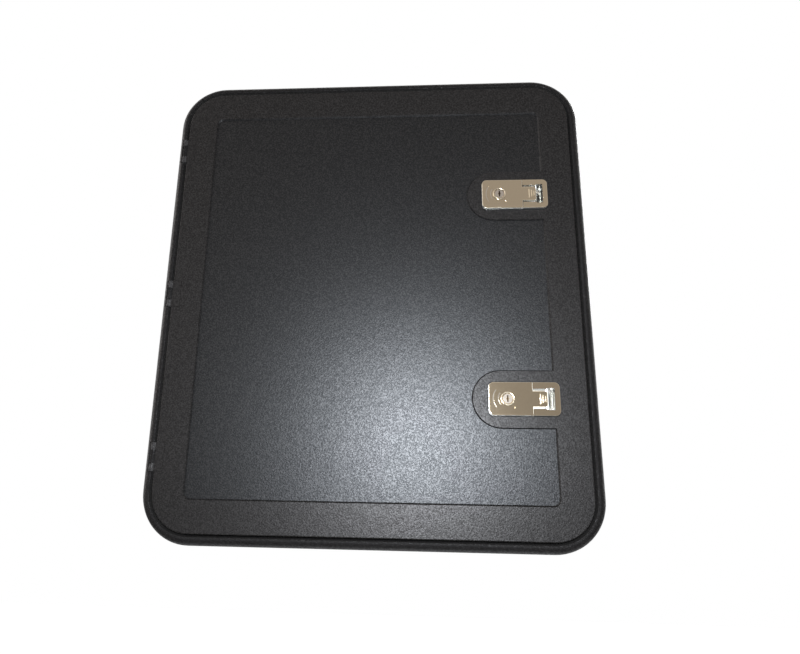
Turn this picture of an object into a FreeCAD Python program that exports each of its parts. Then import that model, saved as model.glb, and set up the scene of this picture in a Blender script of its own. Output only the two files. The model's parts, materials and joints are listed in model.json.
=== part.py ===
"""Service door for a caravan locker: moulded frame, hinged insulated leaf, two flush lift latches with key locks.

Millimetres. The origin is the centre of the opening on the outer face of the wall that the frame is fitted to.
+X is to the right, +Z is up, and the front of the door faces -Y. Depths are written as places along Y.
"""
import FreeCAD, Part
import math
import os

V = FreeCAD.Vector

# Door leaf
LEAF_W = 426.0            # width of the leaf
LEAF_H = 482.0            # height of the leaf
LEAF_R = 38.8             # corner radius of the leaf
FACE_Y = -11.0            # front of the leaf and of the frame's lip, ahead of the wall
SKIN = 3.0                # thickness of the leaf moulding
RIM_WALL = 2.5            # thickness of the leaf's returned rim
RIM_DEPTH = 13.0          # depth of the returned rim
EDGE_ROUND = 1.2          # rounding of the leaf's front edge
BORDER = 31.4             # width of the raised border
RECESS = 1.8              # how far the centre panel lies below the border
RECESS_SLOPE = 1.4        # width of the sloping step round the panel
PANEL_LAP = 1.0           # how far the step's section runs on into the centre panel

# Frame
LEAF_GAP = 2.2            # gap between leaf and frame
FRAME_WALL = 2.5          # wall thickness of the frame moulding
FLANGE = 11.4             # reach of the flange beyond the leaf
LIP_FLAT = 1.4            # flat top of the lip
LIP_ROUND = 0.8           # rounding of the lip's inner edge
LIP_HEEL = 4.4            # distance from leaf edge to the start of the flange's curve
FLANGE_BULGE = 1.6        # how far the flange's curve stands out of its chord
TOE_EDGE = 1.3            # upright edge at the toe of the flange
TOE_WIDTH = 4.5           # width of the toe that presses on the gasket
WALL_GASKET = 1.5         # thickness of the gasket under the flange
GASKET_MARGIN = 0.2       # how far the gasket lies inside the toe
SPIGOT_END = 32.0         # inner end of the frame
GUTTER_Y = 12.0           # front of the gutter floor
UPSTAND_OFFSET = 16.0     # from the leaf edge inwards to the upstand
UPSTAND_TOP = -1.5        # front edge of the upstand
FIX_HOLE_R = 2.25         # fixing holes through the spigot
FIX_HOLE_Y = 23.0
FIX_SIDE_INSET = 91.0     # from the leaf's ends to the fixing holes in the sides
FIX_END_INSET = 93.0      # from the leaf's sides to the fixing holes at top and bottom

# Door seal
SEAL_OFFSET = 14.6        # from the leaf edge inwards to the seal
SEAL_WIDTH = 5.8
SEAL_SHOULDER = 2.5       # height of the seal's straight sides
SEAL_CLEAR = 0.3

# Inner liner and insulation
LINER_OFFSET = 24.0       # from the leaf edge inwards to the liner wall
LINER_WALL = 2.0
LINER_END = 20.0          # inner face of the liner
LINER_ROUND = 3.0         # rounding of the liner's inner edge
LINER_LAP = 3.0           # how far the liner's wall section runs on into its flat back
CORE_CLEAR = 0.3
POST_R = 4.5              # screw posts behind the leaf
POST_INSET_X = 53.0       # from the leaf's edges to the outer posts
POST_INSET_Z = 46.0
LINER_SCREW_R = 1.7
LINER_SCREW_LENGTH = 14.0

# Screws, as shares of the shank's radius
HEAD_RATIO = 1.9          # radius of the head
HEAD_RISE = 1.3           # height of the head
HEAD_CHAMFER = 0.4
DRIVE_CROSS_W = 0.5       # width, reach and depth of the cross in the head
DRIVE_CROSS_REACH = 1.1
DRIVE_CROSS_DEPTH = 0.6
SCREW_CLEAR = 0.1         # clearance round a shank, a length and not a share

# Hinges
HINGE_INSET = 72.0        # from the leaf's ends to the upper and lower hinges
HINGE_OFFSET = 3.2        # from the leaf's edge out to the hinge axis
HINGE_Y = -8.6
KNUCKLE_R = 3.2
FRAME_KNUCKLE_R = 2.8
HINGE_PIN_R = 1.25
PIN_FIT = 0.05
HINGE_LENGTH = 28.0
MIDDLE_KNUCKLE = 13.4     # length of the gap between the leaf's knuckles
KNUCKLE_GAP = 0.4
HINGE_LEAF_W = 8.6
HINGE_LEAF_T = 2.4
HINGE_FIT = 0.25
HINGE_PAD = 3.6           # extra thickness behind the hinge leaf
HINGE_SCREW_R = 1.4
HINGE_SCREW_Z = 8.0
HINGE_SCREW_COVER = 0.8   # moulding left over the end of a blind screw hole
NOTCH_CLEAR = 0.5

# Latches
LATCH_INSET = 132.0       # from the leaf's ends to the latches
PAD_R = 27.7              # half height of the pad round a latch, and its rounded end
PAD_BACK = 12.7           # from the plate's left end to the centre of the pad's rounded end
PAD_SINK = 0.5            # how far the pad's block reaches into the panel below it
LATCH_ROOM = 1.0          # room in the foam round a latch
PLATE_FROM_EDGE = 27.6    # from the leaf's edge to the right end of the latch plate
PLATE_W = 68.8
PLATE_H = 32.6
PLATE_R = 5.0
PLATE_EDGE = 0.6          # rounding round the plate's face
GASKET_T = 0.6
GASKET_SHOW = 0.7         # how far the gasket shows round the plate
FLANGE_T = 0.7
HEEL_RELIEF = 0.35        # thinning of the base flange under the heel of the handle
HEEL_W = 2.6
PLATE_RISE = 3.9          # height of the plate above the pad
HANDLE_T = 1.7
SPLIT_GAP = 0.35
PAN_INSET = 0.9           # from the plate's left end to the pan
PAN_INSET_END = 3.8       # from the plate's right end to the pan
PAN_INSET_SIDE = 2.1      # from the plate's long sides to the pan
PAN_WALL = 1.0
PAN_END_WALL = 0.8
PAN_DEPTH_Y = -4.4        # inner end of the pan
PAN_FIT = 0.3
TONGUE = 14.3             # length of the tongue beyond the handle's wide part
TONGUE_HALF = 7.9
TONGUE_R = 2.5
SLOT_W = 1.8              # width of the slots beside the tongue
DISH_RIM = 5.2            # from the dish to the plate's right end
DISH_LENGTH = 6.9         # from the tongue's end to the far end of the dish
DISH_SIDE = 1.0           # how far the dish reaches past the slots
DISH_GAP = 0.4            # from the tongue's end to the wide part of the dish
DISH_FLOOR = -6.0
RIDGE_BACK = 7.0          # from the tongue's end to the farthest ridge
RIDGE_PITCH = 2.5
RIDGE_W = 1.1
RIDGE_RISE = 0.5
RIDGE_ROUND = 0.45
RIDGE_HALF = 5.0          # half length of the farthest ridge
RIDGE_STEP = 1.1          # how much shorter each end of the next ridge is
RIDGES = 3

# Lift of the handle, and the bolt that it draws back
PIVOT_INSET = 3.7         # from the plate's left end to the pivot pin
PIVOT_DEPTH = 3.5         # from the plate's face to the pivot pin
PIVOT_PIN_R = 0.8
LIFT = math.radians(20.0)
BOLT_TRAVEL = 9.5
DRIVE_X = 20.0            # drive pin from the pivot, with the handle down
DRIVE_Y = 11.0
DRIVE_R = 1.8
DRIVE_CLEAR = 0.3
DRIVE_PROUD = 0.4         # how far a drive pin runs past the inner face of its cheek
ARM_CLEAR = 0.6           # room between the handle's arms and the pan
ARM_T = 1.8
ARM_WALL = 1.4            # metal round the drive pin and the pivot
CHEEK_CLEAR = 0.3         # room between an arm and a cheek of the bolt
CHEEK_T = 2.0
CHEEK_REACH = 7.2         # how far the cheeks reach to the left of the drive pin
CHEEK_WALL = 1.3          # material round a cam slot
CROSS_REACH = 4.8         # from the drive pin to the cross bar
CROSS_W = 12.0
CROSS_Y = 5.0
BOLT_BACK = 11.0
BOLT_FRONT = 4.0
BOLT_HALF = 6.0
BOLT_THROW = 7.5          # how far the bolt reaches past the strike plate's seat
BOLT_BEVEL = 5.5
BOLT_LIP = 1.5            # square edge at the tip, before the bevel
SLOT_STEPS = 6

# Key lock in the handle
KEY_INSET = 18.2          # from the plate's left end to the key
BARREL_R = 5.3
BARREL_FIT = 0.05
BOSS_R = 7.0
BOSS_END = 1.5
BEZEL_RISE = 0.9          # height of the rounded ring round the barrel
BEZEL_R = 6.9
BEZEL_ROUND = 0.7
BARREL_SET = 0.5          # how far the barrel's face lies below the ring
BARREL_CHAMFER = 0.5
KEYWAY_W = 1.3
KEYWAY_H = 6.6
KEYWAY_DEPTH = 6.0
KEY_ENTRY = 1.2           # depth of the round entry in the middle of the keyway
CAM_T = 1.8
CAM_R = 4.5
CAM_CLEAR = 0.7           # room between the turned cam and the bolt's cheek
CAM_W = 5.0
CAM_SCREW_R = 1.2
CAM_SCREW_GRIP = 4.0      # length of the cam screw inside the barrel
CAM_HOLE_DEPTH = 6.0
ARC_RADII = (9.2, 14.0)   # engraved arcs beside the key
ARC_W = 1.0
ARC_DEPTH = 0.35
ARC_HALF_ANGLE = 38.0
DOT_X = 6.4               # dimple from the key
DOT_Z = -8.7
DOT_R = 0.9

# Bracket behind the leaf that holds a latch
BRACKET_T = 1.2
BRACKET_ROUND = 1.0
BRACKET_SIDE = 1.9        # from the pan's sides to the outside of the bracket
BRACKET_END = 2.0         # from the pan's right end to the outside of the bracket
BRACKET_START = 1.2       # from the pan's left end to the outside of the bracket
BRACKET_FLOOR = 12.5
BRACKET_SCREW_GAP = 9.4   # from the bolt's cross bar to the bracket screws
BRACKET_POST_Z = 12.2
BRACKET_POST_R = 2.2
BRACKET_SCREW_R = 1.0
BRACKET_SCREW_LENGTH = 9.0

# Return spring of the bolt
SPRING_R = 2.6
SPRING_WIRE = 0.45
SPRING_TURNS = 5
WIRE_SIDES = 8            # flats round the spring wire
SPRING_Y = 8.2
SPRING_CLEAR = 0.15

# Strike in the frame
STRIKE_T = 1.2
STRIKE_HALF = 15.0
STRIKE_FRONT = -1.0
STRIKE_BACK = 14.0
STRIKE_R = 2.0            # corner radius of the strike plate
STRIKE_FIT = 0.3
STRIKE_SCREW_Z = 11.0
STRIKE_SCREW_R = 1.4
STRIKE_SCREW_LENGTH = 6.0

# Places worked out from the sizes above
HALF_W = LEAF_W / 2
HALF_H = LEAF_H / 2
POST_X = HALF_W - POST_INSET_X
POST_Z = HALF_H - POST_INSET_Z
FIX_SIDE_PITCH = LEAF_H - 2 * FIX_SIDE_INSET
FIX_END_PITCH = LEAF_W - 2 * FIX_END_INSET
HINGE_PITCH = HALF_H - HINGE_INSET
LATCH_PITCH = HALF_H - LATCH_INSET
BORDER_BACK = FACE_Y + SKIN
PANEL_Y = FACE_Y + RECESS
PANEL_BACK = PANEL_Y + SKIN
GASKET_TOP = FACE_Y - GASKET_T
BASE_TOP = GASKET_TOP - FLANGE_T
PLATE_TOP = FACE_Y - PLATE_RISE
HANDLE_BACK = PLATE_TOP + HANDLE_T
PLATE_RIGHT = HALF_W - PLATE_FROM_EDGE
PLATE_X = PLATE_RIGHT - PLATE_W
PAD_X = PLATE_X + PAD_BACK
DISH_END = PLATE_RIGHT - DISH_RIM
TONGUE_END = DISH_END - DISH_LENGTH
SPLIT_X = TONGUE_END - TONGUE
PAN_LEFT = PLATE_X + PAN_INSET
PAN_RIGHT = PLATE_RIGHT - PAN_INSET_END
PAN_HALF = PLATE_H / 2 - PAN_INSET_SIDE
SLOT_HALF = TONGUE_HALF + SLOT_W
DISH_HALF = SLOT_HALF + DISH_SIDE
DISH_X = TONGUE_END + DISH_GAP
RIDGE_X = TONGUE_END - RIDGE_BACK
PIVOT_X = PLATE_X + PIVOT_INSET
PIVOT_Y = PLATE_TOP + PIVOT_DEPTH
ARM_OUT = PAN_HALF - PAN_WALL - ARM_CLEAR
ARM_IN = ARM_OUT - ARM_T
CHEEK_OUT = ARM_IN - CHEEK_CLEAR
CHEEK_IN = CHEEK_OUT - CHEEK_T
CHEEK_LEFT = PIVOT_X + DRIVE_X - CHEEK_REACH
CROSS_LEFT = PIVOT_X + DRIVE_X + CROSS_REACH
CROSS_RIGHT = CROSS_LEFT + CROSS_W
KEY_X = PLATE_X + KEY_INSET
CAM_REACH = CHEEK_IN - CAM_CLEAR
BRACKET_LEFT = PAN_LEFT - BRACKET_START
BRACKET_RIGHT = PAN_RIGHT + BRACKET_END
BRACKET_HALF = PAN_HALF + BRACKET_SIDE
BRACKET_SCREW_X = CROSS_RIGHT + BRACKET_SCREW_GAP
STRIKE_X = HALF_W - UPSTAND_OFFSET - FRAME_WALL
BOLT_TIP = STRIKE_X + BOLT_THROW
HINGE_X = -HALF_W - HINGE_OFFSET
OVER = 1.0                # how far a cutting block runs past the face that it opens
THROUGH = 40.0            # reach of a cutting block that goes right through


def box(x, y, z):
    """Block between two places along each axis."""
    return Part.makeBox(x[1] - x[0], y[1] - y[0], z[1] - z[0], V(x[0], y[0], z[0]))


def rod_x(radius, x, y, z):
    return Part.makeCylinder(radius, x[1] - x[0], V(x[0], y, z), V(1, 0, 0))


def rod_y(radius, x, y, z):
    return Part.makeCylinder(radius, y[1] - y[0], V(x, y[0], z), V(0, 1, 0))


def rod_z(radius, x, y, z):
    return Part.makeCylinder(radius, z[1] - z[0], V(x, y, z[0]), V(0, 0, 1))


def join(solids):
    """One solid from several that meet."""
    return solids[0].multiFuse(solids[1:]).removeSplitter()


def outline(points, place):
    """Closed wire. A point is a corner, and a pair of points is an arc through the first to the second."""
    edges = []
    start = points[0]
    for step in list(points[1:]) + [points[0]]:
        if isinstance(step[0], tuple):
            edges.append(Part.Arc(place(*start), place(*step[0]), place(*step[1])).toShape())
            start = step[1]
        else:
            edges.append(Part.makeLine(place(*start), place(*step)))
            start = step
    return Part.Face(Part.Wire(edges))


def ring(section):
    """Rail with one section all round the leaf. The section is (distance out from the leaf edge, y)."""
    solids = []
    sides = ((HALF_W, LEAF_H - 2 * LEAF_R), (HALF_H, LEAF_W - 2 * LEAF_R)) * 2
    for number, (half, run) in enumerate(sides):
        straight = outline(section, lambda u, y: V(half + u, y, -run / 2)).extrude(V(0, 0, run))
        turn = outline(section, lambda u, y: V(half + u, y, run / 2))
        corner = turn.revolve(V(half - LEAF_R, 0, run / 2), V(0, -1, 0), 90)
        for piece in (straight, corner):
            piece.rotate(V(0, 0, 0), V(0, -1, 0), 90 * number)
            solids.append(piece)
    return join(solids)


def rounded_plate(x, z, radius, y):
    """Plate with rounded corners between two depths."""
    plate = box(x, y, z)
    upright = [e for e in plate.Edges if abs(e.Vertexes[0].Y - e.Vertexes[1].Y) > 1e-6]
    return plate.makeFillet(radius, upright)


def leaf_plate(offset, y):
    """Plate with the leaf's outline drawn in by an offset."""
    return rounded_plate((offset - HALF_W, HALF_W - offset), (offset - HALF_H, HALF_H - offset), LEAF_R - offset, y)


def hinge_heights():
    return {"lower": -HINGE_PITCH, "middle": 0.0, "upper": HINGE_PITCH}


def latch_heights():
    return {"lower": -LATCH_PITCH, "upper": LATCH_PITCH}


def knuckle_spans(z_mid):
    """Upright extents of the two knuckles of a hinge leaf."""
    inner = MIDDLE_KNUCKLE / 2
    outer = HINGE_LENGTH / 2
    return ((z_mid - outer, z_mid - inner), (z_mid + inner, z_mid + outer))


def post_places():
    return [(x, z) for x in (-POST_X, 0, POST_X) for z in (-POST_Z, 0, POST_Z) if (x, z) != (0, 0)]


def screw(radius, length):
    """Pan-head screw along +Z: the head sits below the origin and the shank above it."""
    head = Part.makeCylinder(radius * HEAD_RATIO, radius * HEAD_RISE, V(0, 0, -radius * HEAD_RISE))
    rim = [e for e in head.Edges if abs(e.CenterOfMass.z + radius * HEAD_RISE) < 1e-6]
    head = head.makeChamfer(radius * HEAD_CHAMFER, rim)
    half = radius * DRIVE_CROSS_W / 2
    arm = radius * DRIVE_CROSS_REACH
    top = -radius * HEAD_RISE
    cross = box((-arm, arm), (-half, half), (top - OVER, top + radius * DRIVE_CROSS_DEPTH))
    other = cross.copy()
    other.rotate(V(0, 0, 0), V(0, 0, 1), 90)
    shank = Part.makeCylinder(radius, length)
    return head.cut(cross).cut(other).fuse(shank).removeSplitter()


def flange_curve(offset):
    """Outer curve of the flange, or its inner copy, as its two ends and its middle."""
    toe = (FLANGE, -WALL_GASKET - TOE_EDGE)
    heel = (LIP_HEEL, FACE_Y)
    length = math.hypot(toe[0] - heel[0], toe[1] - heel[1])
    out = ((toe[1] - heel[1]) / length, -(toe[0] - heel[0]) / length)
    rise = FLANGE_BULGE - offset
    middle = ((toe[0] + heel[0]) / 2 + rise * out[0], (toe[1] + heel[1]) / 2 + rise * out[1])
    return toe, middle, heel


def frame_rail():
    toe, middle, heel = flange_curve(0)
    inner_middle = flange_curve(FRAME_WALL)[1]
    wall_in = LEAF_GAP
    wall_out = LEAF_GAP + FRAME_WALL
    up_out = -UPSTAND_OFFSET
    up_in = -UPSTAND_OFFSET - FRAME_WALL
    back = -WALL_GASKET
    slant = LIP_ROUND * (1 - math.sqrt(0.5))
    return ring([
        (FLANGE, back), toe, (middle, heel),
        (wall_in + LIP_ROUND, FACE_Y),
        ((wall_in + slant, FACE_Y + slant), (wall_in, FACE_Y + LIP_ROUND)),
        (wall_in, GUTTER_Y), (up_out, GUTTER_Y), (up_out, UPSTAND_TOP), (up_in, UPSTAND_TOP),
        (up_in, GUTTER_Y + FRAME_WALL), (wall_in, GUTTER_Y + FRAME_WALL),
        (wall_in, SPIGOT_END), (wall_out, SPIGOT_END), (wall_out, FACE_Y + FRAME_WALL),
        (inner_middle, (FLANGE - TOE_WIDTH, back)),
    ])


def frame_hinge_knuckle(z_mid):
    """Knuckle of the frame between those of the hinge leaf, on a web from the flange."""
    half = MIDDLE_KNUCKLE / 2 - KNUCKLE_GAP
    span = (z_mid - half, z_mid + half)
    barrel = rod_z(FRAME_KNUCKLE_R, HINGE_X, HINGE_Y, span)
    root = HINGE_X - KNUCKLE_R - NOTCH_CLEAR - FRAME_WALL / 2
    web = box((root, HINGE_X), (HINGE_Y, HINGE_Y + FRAME_KNUCKLE_R), span)
    return barrel.fuse(web)


def frame_hinge_notch(z_mid):
    """Room in the lip for the whole hinge, with the swing of its knuckles."""
    reach = KNUCKLE_R + NOTCH_CLEAR
    half = HINGE_LENGTH / 2 + KNUCKLE_GAP
    span = (z_mid - half, z_mid + half)
    turning = rod_z(reach, HINGE_X, HINGE_Y, span)
    gap_side = box((HINGE_X, -HALF_W), (FACE_Y - reach, HINGE_Y + reach), span)
    above = box((HINGE_X - reach, HINGE_X), (FACE_Y - reach, HINGE_Y), span)
    return join([turning, gap_side, above])


def outer_frame():
    frame = frame_rail()
    for z_mid in hinge_heights().values():
        frame = frame.cut(frame_hinge_notch(z_mid)).fuse(frame_hinge_knuckle(z_mid))
        frame = frame.cut(rod_z(HINGE_PIN_R + PIN_FIT, HINGE_X, HINGE_Y, (z_mid - HINGE_LENGTH, z_mid + HINGE_LENGTH)))
    for sign in (-1, 1):
        for step in (-0.5, 0.5):
            side_x = sorted((sign * HALF_W, sign * (HALF_W + FLANGE)))
            frame = frame.cut(rod_x(FIX_HOLE_R, side_x, FIX_HOLE_Y, step * FIX_SIDE_PITCH))
            end_z = sorted((sign * HALF_H, sign * (HALF_H + FLANGE)))
            frame = frame.cut(rod_z(FIX_HOLE_R, step * FIX_END_PITCH, FIX_HOLE_Y, end_z))
    for z_mid in latch_heights().values():
        upstand = (STRIKE_X - OVER, STRIKE_X + FRAME_WALL + OVER)
        frame = frame.cut(strike_window(z_mid, upstand))
        for z in strike_screw_heights(z_mid):
            frame = frame.cut(rod_x(STRIKE_SCREW_R + SCREW_CLEAR, upstand, strike_mid_y(), z))
    return frame.removeSplitter()


def wall_gasket():
    inner = FLANGE - TOE_WIDTH + GASKET_MARGIN
    outer = FLANGE - GASKET_MARGIN
    return ring([(outer, -WALL_GASKET), (outer, 0), (inner, 0), (inner, -WALL_GASKET)])


def strike_mid_y():
    return (BOLT_FRONT + BOLT_BACK) / 2


def strike_screw_heights(z_mid):
    return (z_mid - STRIKE_SCREW_Z, z_mid + STRIKE_SCREW_Z)


def strike_window(z_mid, x):
    half = BOLT_HALF + STRIKE_FIT
    return box(x, (BOLT_FRONT - STRIKE_FIT, BOLT_BACK + STRIKE_FIT), (z_mid - half, z_mid + half))


def strike_plate(z_mid):
    x = (STRIKE_X - STRIKE_T, STRIKE_X)
    plate = box(x, (STRIKE_FRONT, STRIKE_BACK), (z_mid - STRIKE_HALF, z_mid + STRIKE_HALF))
    corners = [e for e in plate.Edges if abs(e.Vertexes[0].X - e.Vertexes[1].X) > 1e-6]
    plate = plate.makeFillet(STRIKE_R, corners)
    through = (x[0] - OVER, x[1] + OVER)
    plate = plate.cut(strike_window(z_mid, through))
    for z in strike_screw_heights(z_mid):
        plate = plate.cut(rod_x(STRIKE_SCREW_R + SCREW_CLEAR, through, strike_mid_y(), z))
    return plate


def strike_screws():
    screws = []
    for z_mid in latch_heights().values():
        for z in strike_screw_heights(z_mid):
            piece = screw(STRIKE_SCREW_R, STRIKE_SCREW_LENGTH)
            piece.rotate(V(0, 0, 0), V(0, 1, 0), 90)
            piece.translate(V(STRIKE_X - STRIKE_T, strike_mid_y(), z))
            screws.append(piece)
    return Part.makeCompound(screws)


def hinge_pin(z_mid):
    return rod_z(HINGE_PIN_R, HINGE_X, HINGE_Y, (z_mid - HINGE_LENGTH / 2, z_mid + HINGE_LENGTH / 2))


def hinge_leaf(z_mid):
    """Insert let into the leaf's border, with a knuckle at each end."""
    half = HINGE_LENGTH / 2
    back = FACE_Y + HINGE_LEAF_T
    plate = box((-HALF_W, -HALF_W + HINGE_LEAF_W), (FACE_Y, back), (z_mid - half, z_mid + half))
    pieces = [plate]
    for span in knuckle_spans(z_mid):
        pieces.append(rod_z(KNUCKLE_R, HINGE_X, HINGE_Y, span))
        pieces.append(box((HINGE_X, -HALF_W + EDGE_ROUND), (FACE_Y, back), span))
    body = join(pieces)
    body = body.cut(rod_z(HINGE_PIN_R + PIN_FIT, HINGE_X, HINGE_Y, (z_mid - HINGE_LENGTH, z_mid + HINGE_LENGTH)))
    for z in hinge_screw_heights(z_mid):
        depth = (FACE_Y + HINGE_SCREW_COVER, back + OVER)
        body = body.cut(rod_y(HINGE_SCREW_R + SCREW_CLEAR, hinge_screw_x(), depth, z))
    return body


def hinge_screw_x():
    return -HALF_W + HINGE_LEAF_W - HINGE_SCREW_R * HEAD_RATIO - HINGE_FIT


def hinge_screw_heights(z_mid):
    return (z_mid - HINGE_SCREW_Z, z_mid + HINGE_SCREW_Z)


def hinge_pad_back():
    return FACE_Y + HINGE_LEAF_T + HINGE_PAD


def hinge_screws():
    """Screws from behind the leaf into the hinge leaves."""
    screws = []
    for z_mid in hinge_heights().values():
        for z in hinge_screw_heights(z_mid):
            piece = screw(HINGE_SCREW_R, HINGE_PAD + HINGE_LEAF_T - HINGE_SCREW_COVER - SCREW_CLEAR)
            piece.rotate(V(0, 0, 0), V(1, 0, 0), 90)
            piece.translate(V(hinge_screw_x(), hinge_pad_back(), z))
            screws.append(piece)
    return Part.makeCompound(screws)


def leaf_shell():
    """Raised border with its returned rim, and the sunken centre panel."""
    slant = EDGE_ROUND * (1 - math.sqrt(0.5))
    rim_end = FACE_Y + RIM_DEPTH
    inner = -BORDER - RECESS_SLOPE
    border = ring([
        (-RIM_WALL, rim_end), (0, rim_end), (0, FACE_Y + EDGE_ROUND),
        ((-slant, FACE_Y + slant), (-EDGE_ROUND, FACE_Y)),
        (-BORDER, FACE_Y), (inner, PANEL_Y), (inner - PANEL_LAP, PANEL_Y), (inner - PANEL_LAP, PANEL_BACK),
        (inner, PANEL_BACK), (-BORDER, BORDER_BACK), (-RIM_WALL, BORDER_BACK),
    ])
    return join([border, leaf_plate(BORDER + RECESS_SLOPE + PANEL_LAP / 2, (PANEL_Y, PANEL_BACK))])


def latch_pad(z_mid, front, back, shrink):
    """Block with one rounded end, reaching in from the border, with sides that slope as the panel's step does."""
    radius = PAD_R - shrink
    foot = radius + RECESS_SLOPE
    end = Part.makeCone(radius, foot, back - front, V(PAD_X, front, z_mid), V(0, 1, 0))
    right = HALF_W - BORDER + OVER
    slope = [(z_mid - radius, front), (z_mid + radius, front), (z_mid + foot, back), (z_mid - foot, back)]
    side = outline(slope, lambda z, y: V(PAD_X, y, z)).extrude(V(right - PAD_X, 0, 0))
    return join([end, side])


def latch_cutout(z_mid):
    """Hole in the leaf that the latch base drops into."""
    half = PAN_HALF + PAN_FIT
    x = (PAN_LEFT - PAN_FIT / 2, PAN_RIGHT + PAN_FIT)
    return rounded_plate(x, (z_mid - half, z_mid + half), PAN_WALL, (FACE_Y - OVER, PANEL_BACK + OVER))


def door_panel():
    leaf = leaf_shell()
    for z_mid in latch_heights().values():
        hollow = latch_pad(z_mid, BORDER_BACK, PANEL_BACK + PAD_SINK, SKIN)
        leaf = leaf.fuse(latch_pad(z_mid, FACE_Y, PANEL_Y + PAD_SINK, 0)).cut(hollow)
        leaf = leaf.cut(latch_cutout(z_mid))
    for z_mid in hinge_heights().values():
        leaf = fit_hinge_seat(leaf, z_mid)
    for x, z in post_places():
        leaf = leaf.fuse(rod_y(POST_R, x, (PANEL_Y + SKIN / 2, LINER_END - LINER_WALL), z))
        leaf = leaf.cut(rod_y(LINER_SCREW_R + SCREW_CLEAR, x, (PANEL_BACK, LINER_END), z))
    return leaf.removeSplitter()


def fit_hinge_seat(leaf, z_mid):
    """Thickened seat behind the border with a pocket for the hinge leaf."""
    half = HINGE_LENGTH / 2
    seat_half = half + RIM_WALL
    right = -HALF_W + HINGE_LEAF_W
    pad = box((-HALF_W + EDGE_ROUND, right + RIM_WALL), (FACE_Y + SKIN / 2, hinge_pad_back()),
              (z_mid - seat_half, z_mid + seat_half))
    pocket = box((-HALF_W - OVER, right + HINGE_FIT), (FACE_Y - OVER, FACE_Y + HINGE_LEAF_T),
                 (z_mid - half - HINGE_FIT, z_mid + half + HINGE_FIT))
    leaf = leaf.fuse(pad).cut(pocket)
    for z in hinge_screw_heights(z_mid):
        depth = (FACE_Y, hinge_pad_back() + OVER)
        leaf = leaf.cut(rod_y(HINGE_SCREW_R + SCREW_CLEAR, hinge_screw_x(), depth, z))
    return leaf


def door_seal():
    """Rubber strip on the back of the leaf that closes on the frame's upstand."""
    outer = -SEAL_OFFSET
    inner = -SEAL_OFFSET - SEAL_WIDTH
    middle = (outer + inner) / 2
    tip = UPSTAND_TOP - SEAL_CLEAR
    shoulder = BORDER_BACK + SEAL_SHOULDER
    return ring([(outer, BORDER_BACK), (outer, shoulder), ((middle, tip), (inner, shoulder)), (inner, BORDER_BACK)])


def inner_liner():
    """Moulded tray that closes the back of the leaf."""
    outer = -LINER_OFFSET
    inner = -LINER_OFFSET - LINER_WALL
    slant = LINER_ROUND * (1 - math.sqrt(0.5))
    wall = ring([
        (outer, BORDER_BACK), (outer, LINER_END - LINER_ROUND),
        ((outer - slant, LINER_END - slant), (outer - LINER_ROUND, LINER_END)),
        (inner - LINER_LAP, LINER_END), (inner - LINER_LAP, LINER_END - LINER_WALL),
        (inner, LINER_END - LINER_WALL), (inner, BORDER_BACK),
    ])
    flat = leaf_plate(LINER_OFFSET + LINER_WALL + LINER_LAP / 2, (LINER_END - LINER_WALL, LINER_END))
    liner = join([wall, flat])
    for x, z in post_places():
        liner = liner.cut(rod_y(LINER_SCREW_R + SCREW_CLEAR, x, (LINER_END - THROUGH, LINER_END + OVER), z))
    for z_mid in latch_heights().values():
        side = HALF_W - LINER_OFFSET
        liner = liner.cut(strike_window(z_mid, (side - LINER_WALL - OVER, side + OVER)))
    return liner.removeSplitter()


def liner_screws():
    screws = []
    for x, z in post_places():
        piece = screw(LINER_SCREW_R, LINER_SCREW_LENGTH)
        piece.rotate(V(0, 0, 0), V(1, 0, 0), 90)
        piece.translate(V(x, LINER_END, z))
        screws.append(piece)
    return Part.makeCompound(screws)


def insulation_core():
    """Foam block between leaf and liner, cut away round the posts and the latches."""
    depth = (PANEL_BACK + CORE_CLEAR, LINER_END - LINER_WALL - CORE_CLEAR)
    core = leaf_plate(LINER_OFFSET + LINER_WALL + CORE_CLEAR, depth)
    for x, z in post_places():
        core = core.cut(rod_y(POST_R + CORE_CLEAR, x, (-THROUGH, THROUGH), z))
    for z_mid in latch_heights().values():
        half = BRACKET_HALF + LATCH_ROOM
        core = core.cut(box((BRACKET_LEFT - LATCH_ROOM, HALF_W), (-THROUGH, THROUGH), (z_mid - half, z_mid + half)))
    return core


def latch_gasket(z_mid):
    """Rubber gasket under the latch base, a little larger than the plate."""
    x = (PLATE_X - GASKET_SHOW, PLATE_RIGHT + GASKET_SHOW)
    half = PLATE_H / 2 + GASKET_SHOW
    sheet = rounded_plate(x, (z_mid - half, z_mid + half), PLATE_R + GASKET_SHOW, (GASKET_TOP, FACE_Y))
    return sheet.cut(latch_cutout(z_mid))


def dish_space(z_mid):
    """Room for the fingers: a slot each side of the tongue, and a scoop that sweeps up to the plate's end."""
    left = SPLIT_X - SPLIT_GAP
    top = PLATE_TOP - OVER
    rise = DISH_FLOOR - (PLATE_TOP + HANDLE_T)
    sweep = TONGUE_END - DISH_GAP / 2
    reach = DISH_END - sweep
    slant = math.sqrt(0.5)
    bend = (sweep + reach * slant, DISH_FLOOR - rise * (1 - slant))
    side = [(left, DISH_FLOOR), (sweep, DISH_FLOOR), (bend, (DISH_END, DISH_FLOOR - rise)),
            (DISH_END, top), (left, top)]
    full = outline(side, lambda x, y: V(x, y, z_mid - DISH_HALF)).extrude(V(0, 0, 2 * DISH_HALF))
    slots = box((left, DISH_X + OVER), (top, DISH_FLOOR), (z_mid - SLOT_HALF, z_mid + SLOT_HALF))
    scoop = box((DISH_X, DISH_END), (top, DISH_FLOOR), (z_mid - DISH_HALF, z_mid + DISH_HALF))
    return full.common(join([slots, scoop]))


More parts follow.
